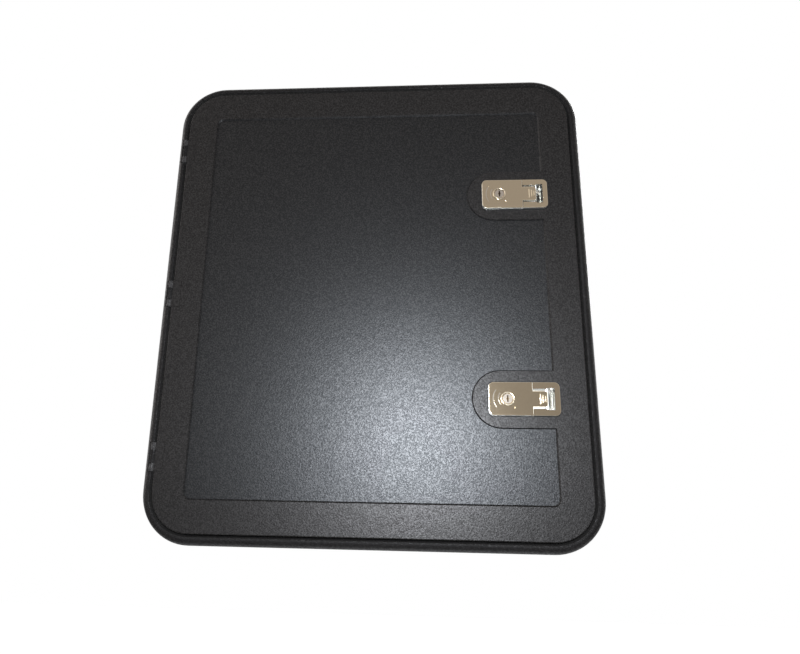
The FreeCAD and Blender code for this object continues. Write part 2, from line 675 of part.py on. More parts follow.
def latch_base(z_mid):
    """Cast base: flange, the rim at its end, side walls, and the finger dish."""
    half = PLATE_H / 2
    z = (z_mid - half, z_mid + half)
    flange = rounded_plate((PLATE_X, PLATE_RIGHT), z, PLATE_R, (BASE_TOP, GASKET_TOP))
    rim_left = SPLIT_X + SPLIT_GAP
    rim = rounded_plate((PLATE_X, PLATE_RIGHT), z, PLATE_R, (PLATE_TOP, BASE_TOP))
    rim = rim.makeFillet(PLATE_EDGE, [e for e in rim.Edges if abs(e.CenterOfMass.y - PLATE_TOP) < 1e-6])
    rim = rim.common(box((rim_left, PLATE_RIGHT), (PLATE_TOP, BASE_TOP), z))
    pan = rounded_plate((PAN_LEFT, PAN_RIGHT), (z_mid - PAN_HALF, z_mid + PAN_HALF), PAN_WALL, (BASE_TOP, PAN_DEPTH_Y))
    inside = PAN_HALF - PAN_WALL
    well = box((PAN_LEFT + PAN_END_WALL, SPLIT_X - PAN_WALL - SPLIT_GAP), (PLATE_TOP - OVER, PAN_DEPTH_Y + OVER),
               (z_mid - inside, z_mid + inside))
    body = join([flange, rim, pan]).cut(well).cut(dish_space(z_mid))
    heel = box((PLATE_X - OVER, PLATE_X + HEEL_W), (BASE_TOP - OVER, BASE_TOP + HEEL_RELIEF), z)
    body = body.cut(heel)
    body = body.cut(rod_z(PIVOT_PIN_R + PIN_FIT, PIVOT_X, PIVOT_Y, (z_mid - half, z_mid + half)))
    for sign in (-1, 1):
        post_z = z_mid + sign * BRACKET_POST_Z
        post = rod_y(BRACKET_POST_R, BRACKET_SCREW_X, (PAN_DEPTH_Y - PAN_WALL, BRACKET_FLOOR), post_z)
        hole = rod_y(BRACKET_SCREW_R + SCREW_CLEAR, BRACKET_SCREW_X, (PAN_DEPTH_Y, BRACKET_FLOOR + OVER), post_z)
        body = body.fuse(post).cut(hole)
    return body.removeSplitter()


def handle_plate(z_mid):
    """Plate with its tongue, its outer edge rounded over."""
    half = PLATE_H / 2
    z = (z_mid - half, z_mid + half)
    plate = rounded_plate((PLATE_X, PLATE_RIGHT), z, PLATE_R, (PLATE_TOP, HANDLE_BACK))
    plate = plate.makeFillet(PLATE_EDGE, [e for e in plate.Edges if abs(e.CenterOfMass.y - PLATE_TOP) < 1e-6])
    plate = plate.common(box((PLATE_X, SPLIT_X), (PLATE_TOP, HANDLE_BACK), z))
    heel = [e for e in plate.Edges if abs(e.CenterOfMass.y - HANDLE_BACK) < 1e-6 and e.BoundBox.XMax < PLATE_X + PLATE_R]
    plate = plate.makeFillet(HANDLE_T / 2, heel)
    tongue = rounded_plate((SPLIT_X - 2 * TONGUE_R, TONGUE_END), (z_mid - TONGUE_HALF, z_mid + TONGUE_HALF), TONGUE_R,
                           (PLATE_TOP, HANDLE_BACK))
    return join([plate, tongue])


def arm_outline():
    """Side of a handle arm, from under the plate past the pivot to the drive pin."""
    drive_x = PIVOT_X + DRIVE_X
    drive_y = PIVOT_Y + DRIVE_Y
    reach = DRIVE_R + ARM_WALL
    hub = 2 * PIVOT_PIN_R
    left = PAN_LEFT + PAN_END_WALL + PAN_FIT
    return [(left, HANDLE_BACK), (drive_x + reach, HANDLE_BACK), (drive_x + reach, drive_y),
            ((drive_x, drive_y + reach), (drive_x - reach, drive_y)),
            (PIVOT_X + hub + ARM_WALL, PIVOT_Y + hub + ARM_WALL), (left, PIVOT_Y + hub)]


def latch_handle(z_mid):
    """Cast handle: plate, tongue with grip ridges, boss for the key barrel, and two arms with drive pins."""
    pieces = [handle_plate(z_mid)]
    for number in range(RIDGES):
        x = RIDGE_X + number * RIDGE_PITCH
        pieces.append(grip_ridge(x, z_mid, RIDGE_HALF - number * RIDGE_STEP))
    pieces.append(rod_y(BOSS_R, KEY_X, (HANDLE_BACK, BOSS_END), z_mid))
    pieces.append(key_ring(z_mid))
    for sign in (-1, 1):
        z = sorted((z_mid + sign * ARM_IN, z_mid + sign * ARM_OUT))
        pieces.append(outline(arm_outline(), lambda x, y: V(x, y, z[0])).extrude(V(0, 0, z[1] - z[0])))
        pin_z = sorted((z_mid + sign * (CHEEK_IN - DRIVE_PROUD), z_mid + sign * ARM_OUT))
        pieces.append(rod_z(DRIVE_R, PIVOT_X + DRIVE_X, PIVOT_Y + DRIVE_Y, pin_z))
    body = join(pieces)
    body = body.cut(rod_y(BARREL_R + BARREL_FIT, KEY_X, (PLATE_TOP - OVER, BOSS_END + OVER), z_mid))
    body = body.cut(rod_z(PIVOT_PIN_R + PIN_FIT, PIVOT_X, PIVOT_Y, (z_mid - PLATE_H, z_mid + PLATE_H)))
    for radius in ARC_RADII:
        body = body.cut(engraved_arc(radius, z_mid))
    dot = Part.makeSphere(DOT_R, V(KEY_X + DOT_X, PLATE_TOP - DOT_R / 2, z_mid + DOT_Z))
    return body.cut(dot).removeSplitter()


def grip_ridge(x, z_mid, half):
    """Rounded ridge across the tongue."""
    front = PLATE_TOP - RIDGE_RISE
    ridge = box((x - RIDGE_W / 2, x + RIDGE_W / 2), (front, PLATE_TOP), (z_mid - half, z_mid + half))
    long_edges = [e for e in ridge.Edges if abs(e.CenterOfMass.y - front) < 1e-6 and e.Length > RIDGE_W + 1e-6]
    return ridge.makeFillet(RIDGE_ROUND, long_edges)


def key_ring(z_mid):
    """Ring round the key barrel, rounded over on both edges."""
    y = (PLATE_TOP - BEZEL_RISE, PLATE_TOP)
    ring_body = rod_y(BEZEL_R, KEY_X, y, z_mid).cut(rod_y(BARREL_R + BARREL_FIT, KEY_X, (y[0] - OVER, y[1] + OVER), z_mid))
    return ring_body.makeFillet(BEZEL_ROUND, [e for e in ring_body.Edges if abs(e.CenterOfMass.y - y[0]) < 1e-6])


def engraved_arc(radius, z_mid):
    """Shallow curved groove to the left of the key."""
    low = radius - ARC_W / 2
    high = radius + ARC_W / 2
    angle = math.radians(ARC_HALF_ANGLE)

    def at(r, turn):
        return (KEY_X - r * math.cos(turn), z_mid + r * math.sin(turn))

    points = [at(low, -angle), (at(low, 0), at(low, angle)), at(high, angle), (at(high, 0), at(high, -angle))]
    return outline(points, lambda x, z: V(x, PLATE_TOP - OVER, z)).extrude(V(0, OVER + ARC_DEPTH, 0))


def handle_pin(z_mid):
    half = PAN_HALF
    return rod_z(PIVOT_PIN_R, PIVOT_X, PIVOT_Y, (z_mid - half, z_mid + half))


def drive_place(lift):
    """Where the drive pin stands in the bolt when the handle is lifted by an angle."""
    x = PIVOT_X + DRIVE_X * math.cos(lift) + DRIVE_Y * math.sin(lift)
    y = PIVOT_Y - DRIVE_X * math.sin(lift) + DRIVE_Y * math.cos(lift)
    return x + BOLT_TRAVEL * lift / LIFT, y


def cam_slot(z):
    """Slot in a cheek of the bolt that gives it a travel in step with the handle's angle."""
    radius = DRIVE_R + DRIVE_CLEAR
    places = [drive_place(LIFT * (step - 0.5) / (SLOT_STEPS - 1)) for step in range(SLOT_STEPS + 1)]
    pieces = []
    for (x0, y0), (x1, y1) in zip(places, places[1:]):
        length = math.hypot(x1 - x0, y1 - y0)
        side = (-(y1 - y0) / length * radius, (x1 - x0) / length * radius)
        corners = [(x0 + side[0], y0 + side[1]), (x1 + side[0], y1 + side[1]),
                   (x1 - side[0], y1 - side[1]), (x0 - side[0], y0 - side[1])]
        pieces.append(outline(corners, lambda x, y: V(x, y, z[0])).extrude(V(0, 0, z[1] - z[0])))
    for x, y in places:
        pieces.append(rod_z(radius, x, y, z))
    return join(pieces)


def latch_bolt(z_mid):
    """Moulded bolt: a nose bar, a cross bar that the spring pushes on, and two cheeks with cam slots."""
    root = (CROSS_LEFT + CROSS_RIGHT) / 2
    nose_side = [(root, BOLT_FRONT), (BOLT_TIP, BOLT_FRONT), (BOLT_TIP, BOLT_FRONT + BOLT_LIP),
                 (BOLT_TIP - BOLT_BEVEL, BOLT_BACK), (root, BOLT_BACK)]
    nose = outline(nose_side, lambda x, y: V(x, y, z_mid - BOLT_HALF)).extrude(V(0, 0, 2 * BOLT_HALF))
    cross = box((CROSS_LEFT, CROSS_RIGHT), (CROSS_Y, BOLT_BACK), (z_mid - CHEEK_OUT, z_mid + CHEEK_OUT))
    pieces = [nose, cross]
    end_x, end_y = drive_place(LIFT)
    start_x, start_y = drive_place(0)
    wall = DRIVE_R + DRIVE_CLEAR + CHEEK_WALL
    for sign in (-1, 1):
        z = sorted((z_mid + sign * CHEEK_IN, z_mid + sign * CHEEK_OUT))
        side = [(start_x - 2 * wall, start_y + wall), (start_x - wall, start_y - wall),
                (end_x - wall, end_y - wall), (end_x + wall, end_y - wall), (CROSS_RIGHT, end_y + wall),
                (CROSS_RIGHT, BOLT_BACK), (CHEEK_LEFT, BOLT_BACK)]
        cheek = outline(side, lambda x, y: V(x, y, z[0])).extrude(V(0, 0, z[1] - z[0]))
        pieces.append(cheek.cut(cam_slot((z[0] - OVER, z[1] + OVER))))
    return join(pieces)


def bolt_spring(z_mid):
    """Compression spring between the bracket's end wall and the bolt's cross bar."""
    left = BRACKET_LEFT + BRACKET_T + SPRING_WIRE + SPRING_CLEAR
    right = CROSS_LEFT - SPRING_WIRE - SPRING_CLEAR
    helix = Part.makeHelix((right - left) / SPRING_TURNS, right - left, SPRING_R)
    turns = [2 * math.pi * number / WIRE_SIDES for number in range(WIRE_SIDES + 1)]
    corners = [V(SPRING_R + SPRING_WIRE * math.cos(turn), 0, SPRING_WIRE * math.sin(turn)) for turn in turns]
    spring = Part.Wire(helix.Edges).makePipeShell([Part.makePolygon(corners)], True, True)
    spring.rotate(V(0, 0, 0), V(0, 1, 0), 90)
    spring.translate(V(left, SPRING_Y, z_mid))
    return spring


def key_barrel(z_mid):
    """Key barrel with its keyway, below the top of the ring round it."""
    front = PLATE_TOP - BEZEL_RISE + BARREL_SET
    barrel = rod_y(BARREL_R, KEY_X, (front, BOSS_END), z_mid)
    rim = [e for e in barrel.Edges if abs(e.CenterOfMass.y - front) < 1e-6]
    barrel = barrel.makeChamfer(BARREL_CHAMFER, rim)
    keyway = box((KEY_X - KEYWAY_W / 2, KEY_X + KEYWAY_W / 2), (front - OVER, front + KEYWAY_DEPTH),
                 (z_mid - KEYWAY_H / 2, z_mid + KEYWAY_H / 2))
    entry = rod_y(KEYWAY_W, KEY_X, (front - OVER, front + KEY_ENTRY), z_mid)
    hole = rod_y(CAM_SCREW_R + SCREW_CLEAR, KEY_X, (BOSS_END - CAM_HOLE_DEPTH, BOSS_END + OVER), z_mid)
    return barrel.cut(keyway).cut(entry).cut(hole)


def key_cam(z_mid):
    """Finger on the inner end of the barrel."""
    y = (BOSS_END, BOSS_END + CAM_T)
    hub = rod_y(CAM_R, KEY_X, y, z_mid)
    tip = CAM_REACH - CAM_W / 2
    finger = box((KEY_X, KEY_X + tip), y, (z_mid - CAM_W / 2, z_mid + CAM_W / 2))
    end = rod_y(CAM_W / 2, KEY_X + tip, y, z_mid)
    hole = rod_y(CAM_SCREW_R + SCREW_CLEAR, KEY_X, (y[0] - OVER, y[1] + OVER), z_mid)
    return join([hub, finger, end]).cut(hole)


def cam_screw(z_mid):
    piece = screw(CAM_SCREW_R, CAM_T + CAM_SCREW_GRIP)
    piece.rotate(V(0, 0, 0), V(1, 0, 0), 90)
    piece.translate(V(KEY_X, BOSS_END + CAM_T, z_mid))
    return piece


def latch_bracket(z_mid):
    """Pressed cover behind the leaf that clamps the base and guides the bolt."""
    z = (z_mid - BRACKET_HALF, z_mid + BRACKET_HALF)
    x = (BRACKET_LEFT, BRACKET_RIGHT)
    outside = box(x, (BORDER_BACK, BRACKET_FLOOR + BRACKET_T), z)
    back_edges = [e for e in outside.Edges if abs(e.CenterOfMass.y - BRACKET_FLOOR - BRACKET_T) < 1e-6]
    outside = outside.makeFillet(BRACKET_ROUND, back_edges)
    inside = box((x[0] + BRACKET_T, x[1] - BRACKET_T), (BORDER_BACK - OVER, BRACKET_FLOOR),
                 (z[0] + BRACKET_T, z[1] - BRACKET_T))
    body = outside.cut(inside)
    body = body.cut(strike_window(z_mid, (x[1] - BRACKET_T - OVER, x[1] + OVER)))
    for sign in (-1, 1):
        hole_z = z_mid + sign * BRACKET_POST_Z
        body = body.cut(rod_y(BRACKET_SCREW_R + SCREW_CLEAR, BRACKET_SCREW_X, (0, THROUGH), hole_z))
    return body


def bracket_screws(z_mid):
    screws = []
    for sign in (-1, 1):
        piece = screw(BRACKET_SCREW_R, BRACKET_SCREW_LENGTH)
        piece.rotate(V(0, 0, 0), V(1, 0, 0), 90)
        piece.translate(V(BRACKET_SCREW_X, BRACKET_FLOOR + BRACKET_T, z_mid + sign * BRACKET_POST_Z))
        screws.append(piece)
    return Part.makeCompound(screws)


def build():
    """Every piece by name."""
    nodes = {
        "outer_frame": outer_frame(),
        "wall_gasket": wall_gasket(),
        "strike_screws": strike_screws(),
        "door_panel": door_panel(),
        "door_seal": door_seal(),
        "inner_liner": inner_liner(),
        "liner_screws": liner_screws(),
        "insulation_core": insulation_core(),
        "hinge_screws": hinge_screws(),
    }
    for name, z_mid in hinge_heights().items():
        nodes["hinge_leaf_" + name] = hinge_leaf(z_mid)
        nodes["hinge_pin_" + name] = hinge_pin(z_mid)
    latch_pieces = (strike_plate, latch_gasket, latch_base, latch_handle, handle_pin, latch_bolt, bolt_spring,
                    key_barrel, key_cam, cam_screw, latch_bracket, bracket_screws)
    for name, z_mid in latch_heights().items():
        for piece in latch_pieces:
            nodes[piece.__name__ + "_" + name] = piece(z_mid)
    return nodes


os.makedirs("parts", exist_ok=True)
for node, shape in build().items():
    shape.exportStep("parts/" + node + ".step")
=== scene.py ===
"""Caravan service door: black grained mouldings, a sunken centre panel and two polished lift latches."""
import bpy
import json
import math

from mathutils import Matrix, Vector


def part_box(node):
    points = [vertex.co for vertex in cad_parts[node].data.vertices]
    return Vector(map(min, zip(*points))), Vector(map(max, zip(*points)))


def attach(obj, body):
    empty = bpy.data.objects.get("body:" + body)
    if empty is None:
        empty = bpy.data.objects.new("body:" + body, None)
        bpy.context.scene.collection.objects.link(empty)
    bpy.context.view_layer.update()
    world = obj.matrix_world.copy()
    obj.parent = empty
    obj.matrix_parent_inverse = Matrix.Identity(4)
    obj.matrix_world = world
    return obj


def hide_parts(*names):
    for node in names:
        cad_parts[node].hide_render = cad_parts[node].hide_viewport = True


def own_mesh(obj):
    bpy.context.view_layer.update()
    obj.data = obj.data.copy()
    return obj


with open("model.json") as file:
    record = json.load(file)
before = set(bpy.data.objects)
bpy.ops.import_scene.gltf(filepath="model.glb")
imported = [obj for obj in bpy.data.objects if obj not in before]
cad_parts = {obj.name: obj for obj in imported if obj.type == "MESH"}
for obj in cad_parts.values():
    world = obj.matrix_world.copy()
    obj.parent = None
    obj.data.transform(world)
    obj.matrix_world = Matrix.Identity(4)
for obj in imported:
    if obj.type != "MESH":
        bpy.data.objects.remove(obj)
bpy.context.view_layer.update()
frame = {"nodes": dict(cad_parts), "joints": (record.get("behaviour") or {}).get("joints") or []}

nodes = frame["nodes"]
MM = 0.001

# Camera
# It looks up at the closed door from below its middle, close to it, with a wide lens.
camera_data = bpy.data.cameras.new("camera")
camera_data.lens = 25.18
camera_data.sensor_width = 36.0
camera_data.shift_x = 0.0301
camera_data.shift_y = -0.0036
camera = bpy.data.objects.new("camera", camera_data)
camera.location = (39.9 * MM, -568.05 * MM, -170.7 * MM)
camera.rotation_euler = [math.radians(angle) for angle in (103.82, -0.878, 3.393)]
bpy.context.scene.collection.objects.link(camera)
bpy.context.scene.camera = camera
bpy.context.scene.view_settings.view_transform = "Standard"


class Flow:
    """A socket on its way through a material. Operators add Math nodes, and node() adds any other node."""

    def __init__(self, tree, socket=None):
        self.tree = tree
        self.socket = socket

    def node(self, kind, settings, inputs, output=0):
        made = self.tree.nodes.new(kind)
        for name, value in settings.items():
            setattr(made, name, value)
        for name, value in inputs.items():
            if isinstance(value, Flow):
                self.tree.links.new(value.socket, made.inputs[name])
            else:
                made.inputs[name].default_value = value
        return Flow(self.tree, made.outputs[output] if made.outputs else None)

    def maths(self, operation, *values):
        return self.node("ShaderNodeMath", {"operation": operation}, dict(enumerate(values)))

    def __add__(self, other):
        return self.maths("ADD", self, other)

    __radd__ = __add__

    def __sub__(self, other):
        return self.maths("SUBTRACT", self, other)

    def __rsub__(self, other):
        return self.maths("SUBTRACT", other, self)

    def __mul__(self, other):
        return self.maths("MULTIPLY", self, other)

    __rmul__ = __mul__


def new_material(name):
    """A material with an empty tree, and the flow that adds its nodes."""
    material = bpy.data.materials.new(name)
    material.use_nodes = True
    material.node_tree.nodes.clear()
    return material, Flow(material.node_tree)


def finish(flow, shader):
    flow.node("ShaderNodeOutputMaterial", {}, {"Surface": shader})


def dress(names, material):
    """Gives CAD pieces their finish."""
    for name in names:
        mesh = nodes[name].data
        mesh.materials.clear()
        mesh.materials.append(material)


# Studio
# A pale floor and a white wall, so that the door stands out as it does when it is cut out on white. The wall
# shows pure white. The floor keeps the door's soft shadow and throws little light up at its lower edge.
WALL_WHITE = (0.80, 0.80, 0.80, 1.0)
FLOOR_PALE = (0.30, 0.30, 0.30, 1.0)
FLOOR_GLOW = 0.86
FLOOR_Z = -0.70
WALL_Y = 1.60
STUDIO_SIZE = 12.0
PURE_WHITE = (1.0, 1.0, 1.0, 1.0)

white, flow = new_material("studio_wall")
matt = flow.node("ShaderNodeBsdfDiffuse", {}, {"Color": WALL_WHITE})
plain = flow.node("ShaderNodeEmission", {}, {"Color": PURE_WHITE, "Strength": 1.0})
seen = flow.node("ShaderNodeLightPath", {}, {}, "Is Camera Ray")
mirrored = flow.node("ShaderNodeLightPath", {}, {}, "Is Glossy Ray")
either = flow.maths("MAXIMUM", seen, mirrored)
finish(flow, flow.node("ShaderNodeMixShader", {}, {0: either, 1: matt, 2: plain}))

pale, flow = new_material("studio_floor")
matt = flow.node("ShaderNodeBsdfDiffuse", {}, {"Color": FLOOR_PALE})
glow = flow.node("ShaderNodeEmission", {}, {"Color": PURE_WHITE, "Strength": FLOOR_GLOW})
seen = flow.node("ShaderNodeLightPath", {}, {}, "Is Camera Ray")
lifted = flow.node("ShaderNodeAddShader", {}, {0: matt, 1: glow})
finish(flow, flow.node("ShaderNodeMixShader", {}, {0: seen, 1: matt, 2: lifted}))

bpy.ops.mesh.primitive_plane_add(size=STUDIO_SIZE, location=(0, 0, FLOOR_Z))
floor = bpy.context.object
floor.name = "studio_floor"
floor.data.materials.append(pale)
bpy.ops.mesh.primitive_plane_add(size=STUDIO_SIZE, location=(0, WALL_Y, 0), rotation=(math.radians(90), 0, 0))
wall = bpy.context.object
wall.name = "studio_wall"
wall.data.materials.append(white)

# The room that the door mirrors is dim, with a window to its left and a paler ceiling. It shows white.
ROOM_TINT = (1.0, 0.94, 0.915, 1.0)
ROOM_LIGHT = 0.30
CEILING_LIGHT = 0.11
CEILING_RISE = (0.05, 0.45)     # height of the direction in which it starts, and where it is full
WINDOW_LIGHT = 1.3
WINDOW_RISE = (-0.5, -0.9)      # the same for the window, sideways

world = bpy.data.worlds.new("studio")
bpy.context.scene.world = world
world.use_nodes = True
world.node_tree.nodes.clear()
flow = Flow(world.node_tree)
aim = flow.node("ShaderNodeTexCoord", {}, {}, "Generated")
aside = flow.node("ShaderNodeSeparateXYZ", {}, {"Vector": aim}, "X")
window = flow.node("ShaderNodeMapRange", {},
                   {"Value": aside, "From Min": WINDOW_RISE[0], "From Max": WINDOW_RISE[1]})
height = flow.node("ShaderNodeSeparateXYZ", {}, {"Vector": aim}, "Z")
ceiling = flow.node("ShaderNodeMapRange", {},
                    {"Value": height, "From Min": CEILING_RISE[0], "From Max": CEILING_RISE[1]})
room = window * WINDOW_LIGHT + ceiling * CEILING_LIGHT + ROOM_LIGHT
dim = flow.node("ShaderNodeBackground", {}, {"Color": ROOM_TINT, "Strength": room})
bright = flow.node("ShaderNodeBackground", {}, {"Color": PURE_WHITE, "Strength": 1.0})
seen = flow.node("ShaderNodeLightPath", {}, {}, "Is Camera Ray")
both = flow.node("ShaderNodeMixShader", {}, {0: seen, 1: dim, 2: bright})
flow.node("ShaderNodeOutputWorld", {}, {"Surface": both})


def square_lamp(name, place, target, size, watts, colour):
    """Square area lamp that faces a point."""
    data = bpy.data.lights.new(name, "AREA")
    data.shape = "SQUARE"
    data.size = size
    data.energy = watts
    data.color = colour
    lamp = bpy.data.objects.new(name, data)
    lamp.location = place
    lamp.rotation_euler = (Vector(target) - Vector(place)).to_track_quat("-Z", "Y").to_euler()
    bpy.context.scene.collection.objects.link(lamp)


# The flash sits beside the lens, so its gloss lies low on the door, to the right of the middle.
FLASH_FROM_LENS = Vector((0.016, 0.0, 0.042))
FLASH_SIZE = 0.10
FLASH_WATTS = 6.4
FLASH_TINT = (0.90, 0.94, 1.0)

flash_place = camera.location + FLASH_FROM_LENS
square_lamp("flash", flash_place, (flash_place.x, 0, flash_place.z), FLASH_SIZE, FLASH_WATTS, FLASH_TINT)

# A large soft lamp behind the door lights its back.
BACK_LAMP_PLACE = (0.75, 1.30, 0.80)
BACK_LAMP_SIZE = 0.90
BACK_LAMP_WATTS = 28.0

square_lamp("back_lamp", BACK_LAMP_PLACE, (0, 0, 0), BACK_LAMP_SIZE, BACK_LAMP_WATTS, (1.0, 1.0, 1.0))

# Black mouldings
# The frame, the leaf, its liner and the hinge inserts are ABS, moulded in a tool with a pebbled grain. The
# grain's flats catch the flash one by one, which gives the plastic its glitter. The leaf's sunken centre is
# glossier. The gap round the leaf is painted paler, a painted fill light. The frame's outer edge is painted
# paler grey, a painted sheen, and the knuckles are paler grey and duller.
GRAIN_MM = 1.7
GLITTER_MM = 0.95
GRAIN_DEPTH = 0.17
PEBBLE_SHARE = 0.7        # what the pebbles and the finer grain add to the height
FINE_SHARE = 0.6
SPECKLE = 0.60            # how far the flats' tone strays from the mean
GLOSS_SPECKLE = 0.10      # and their roughness
FLAT_GLITTER = 3.3        # coat on the brightest flats
CLOUD_GLITTER = 0.3
GLITTER_START = 0.20      # glitter below this doesn't show
LEAF_FACE = -11.0         # front of the leaf's border
CENTRE_DEPTH = 1.8        # how far its centre lies behind that
LEAF_WIDTH = 426.0
LEAF_HEIGHT = 482.0
LEAF_CORNER = 38.8
GAP_LIGHT_MIDDLE = 0.5         # where the gap's painted light lies, past the leaf's outline
GAP_LIGHT_REACH = 2.4
FLANGE_EDGE = 11.5        # the frame's outer edge, past the leaf's outline
PALE_BAND = 4.5           # width of the edge's painted sheen
DULL_START = -1.0         # the gap and the lip are dull between these, past the leaf's outline
DULL_END = 5.2
DULL_STEP = 0.30          # how much rougher they are
KNUCKLE_X = -213.0        # the leaf's knuckles lie to the left of this
GAP_LIGHT_DEPTH = (0.6, 1.4)     # depths behind the leaf's face at which the gap's painted light starts and is full
# colour of the painted fill light in the gap round the leaf
GAP_LIGHT_GREY = (0.023, 0.022, 0.021)
ABS_BLACK = (0.0100, 0.0094, 0.0092)
CENTRE_BLACK = (0.0022, 0.0020, 0.0020)
FRAME_BLACK = (0.0062, 0.0058, 0.0058)
KNUCKLE_GREY = (0.030, 0.029, 0.029)
SHEEN_GREY = (0.12, 0.12, 0.12)
LINER_GREY = (0.020, 0.020, 0.021)
WARM = (1.0, 0.98, 0.97)  # tints of the gloss
COOL = (0.93, 0.965, 1.0)
FRAME_GLOSS = (0.46, 1.32, 1.26)  # roughness, and refraction of the base and of its coat
BORDER_GLOSS = (0.42, 1.34, 1.33)
CENTRE_GLOSS = (0.44, 1.44, 1.40)
LINER_GLOSS = (0.52, 1.32, 1.26)


def ramp(flow, value, start, end):
    """Rises from 0 to 1 as a distance goes from start to end, in millimetres."""
    return flow.node("ShaderNodeMapRange", {}, {"Value": value, "From Min": start * MM, "From Max": end * MM})


def past_outline(flow, x, up, ends, half, corner):
    """Distance from the outline of a rounded rectangle, less than nothing inside it."""
    middle = (ends[0] + ends[1]) / 2
    across = flow.maths("ABSOLUTE", x - middle * MM) - ((ends[1] - ends[0]) / 2 - corner) * MM
    above = up - (half - corner) * MM
    out = flow.maths("SQRT", flow.maths("POWER", flow.maths("MAXIMUM", across, 0.0), 2.0)
                     + flow.maths("POWER", flow.maths("MAXIMUM", above, 0.0), 2.0))
    return out + flow.maths("MINIMUM", flow.maths("MAXIMUM", across, above), 0.0) - corner * MM


def blend(flow, share, first, second):
    """Mixes two colours, each a triple or a flow."""
    pair = [(*colour, 1.0) if isinstance(colour, tuple) else colour for colour in (first, second)]
    return flow.node("ShaderNodeMix", {"data_type": "RGBA"}, {"Factor": share, 6: pair[0], 7: pair[1]}, 2)


def object_place(flow):
    """Object coordinates, whole and as x, y and z."""
    place = flow.node("ShaderNodeTexCoord", {}, {}, "Object")
    return place, *(flow.node("ShaderNodeSeparateXYZ", {}, {"Vector": place}, axis) for axis in "XYZ")


def past_leaf(flow, x, z):
    """Distance from the leaf's outline."""
    ends = (-LEAF_WIDTH / 2, LEAF_WIDTH / 2)
    return past_outline(flow, x, flow.maths("ABSOLUTE", z), ends, LEAF_HEIGHT / 2, LEAF_CORNER)


def gap_lit_colour(flow, x, y, z, colour):
    """Colour of a moulding, painted paler in the gap round the leaf: a painted fill light."""
    far = flow.maths("ABSOLUTE", past_leaf(flow, x, z) - GAP_LIGHT_MIDDLE * MM)
    gap_light = ramp(flow, far, GAP_LIGHT_REACH, 0.75 * GAP_LIGHT_REACH)
    gap_light = gap_light * ramp(flow, y, LEAF_FACE + GAP_LIGHT_DEPTH[0], LEAF_FACE + GAP_LIGHT_DEPTH[1])
    return blend(flow, gap_light, colour, GAP_LIGHT_GREY)


def grained_shader(flow, place, colour, tint, gloss, dull=0.0):
    """Gloss of a pebbled moulding: a bumped base, and a coat on the flats that happen to face the light."""
    roughness, ior, coat_ior = gloss
    pebbles = flow.node("ShaderNodeTexVoronoi", {"feature": "SMOOTH_F1"},
                        {"Vector": place, "Scale": 1.0 / (GRAIN_MM * MM), "Smoothness": 0.6}, "Distance")
    fine = flow.node("ShaderNodeTexNoise", {},
                     {"Vector": place, "Scale": 2.0 / (GRAIN_MM * MM), "Detail": 4.0}, "Fac")
    height = pebbles * PEBBLE_SHARE + fine * FINE_SHARE
    normal = flow.node("ShaderNodeBump", {},
                       {"Strength": 1.0, "Distance": GRAIN_DEPTH * MM, "Height": height})
    flats = flow.node("ShaderNodeTexVoronoi", {"feature": "F1"},
                      {"Vector": place, "Scale": 1.0 / (GLITTER_MM * MM)}, "Color")
    cloud = flow.node("ShaderNodeTexNoise", {},
                      {"Vector": place, "Scale": 0.35 / (GLITTER_MM * MM), "Detail": 3.0}, "Fac")
    glitter = flow.maths("POWER", flats, 3.0) * FLAT_GLITTER + cloud * CLOUD_GLITTER - GLITTER_START - dull
    shade = flats * (2 * SPECKLE) + (1 - SPECKLE)
    tone = flow.node("ShaderNodeMix", {"data_type": "RGBA", "blend_type": "MULTIPLY"},
                     {"Factor": 1.0, 6: colour, 7: shade}, 2)
    rough = flats * -GLOSS_SPECKLE + dull * DULL_STEP + (roughness + GLOSS_SPECKLE / 2)
    return flow.node("ShaderNodeBsdfPrincipled", {}, {
        "Base Color": tone, "Roughness": rough, "IOR": ior, "Specular Tint": (*tint, 1.0), "Normal": normal,
        "Coat Weight": flow.node("ShaderNodeClamp", {}, {"Value": glitter}),
        "Coat Roughness": roughness, "Coat IOR": coat_ior})


def frame_plastic():
    material, flow = new_material("frame_grained_abs")
    place, x, y, z = object_place(flow)
    past = past_leaf(flow, x, z)
    dull = ramp(flow, past, DULL_START - 0.2, DULL_START) * ramp(flow, past, DULL_END + 1.0, DULL_END)
    # The frame's outer edge is painted paler grey: a painted sheen.
    pale = ramp(flow, past, FLANGE_EDGE - PALE_BAND, FLANGE_EDGE)
    colour = blend(flow, flow.maths("POWER", pale, 2.0), gap_lit_colour(flow, x, y, z, FRAME_BLACK), SHEEN_GREY)
    finish(flow, grained_shader(flow, place, colour, WARM, FRAME_GLOSS, dull))
    return material


def leaf_plastic():
    material, flow = new_material("leaf_grained_abs")
    place, x, y, z = object_place(flow)
    sunken = ramp(flow, y, LEAF_FACE + 0.3 * CENTRE_DEPTH, LEAF_FACE + 0.7 * CENTRE_DEPTH)
    border = grained_shader(flow, place, gap_lit_colour(flow, x, y, z, ABS_BLACK), WARM, BORDER_GLOSS)
    centre = grained_shader(flow, place, gap_lit_colour(flow, x, y, z, CENTRE_BLACK), COOL, CENTRE_GLOSS)
    finish(flow, flow.node("ShaderNodeMixShader", {}, {0: sunken, 1: border, 2: centre}))
    return material


def hinge_plastic():
    material, flow = new_material("hinge_grained_abs")
    place, x = object_place(flow)[:2]
    # The knuckles, left of KNUCKLE_X, are paler grey and duller.
    lightened = ramp(flow, x, KNUCKLE_X, KNUCKLE_X - 1.0)
    colour = blend(flow, lightened, ABS_BLACK, KNUCKLE_GREY)
    finish(flow, grained_shader(flow, place, colour, WARM, BORDER_GLOSS, lightened))
    return material


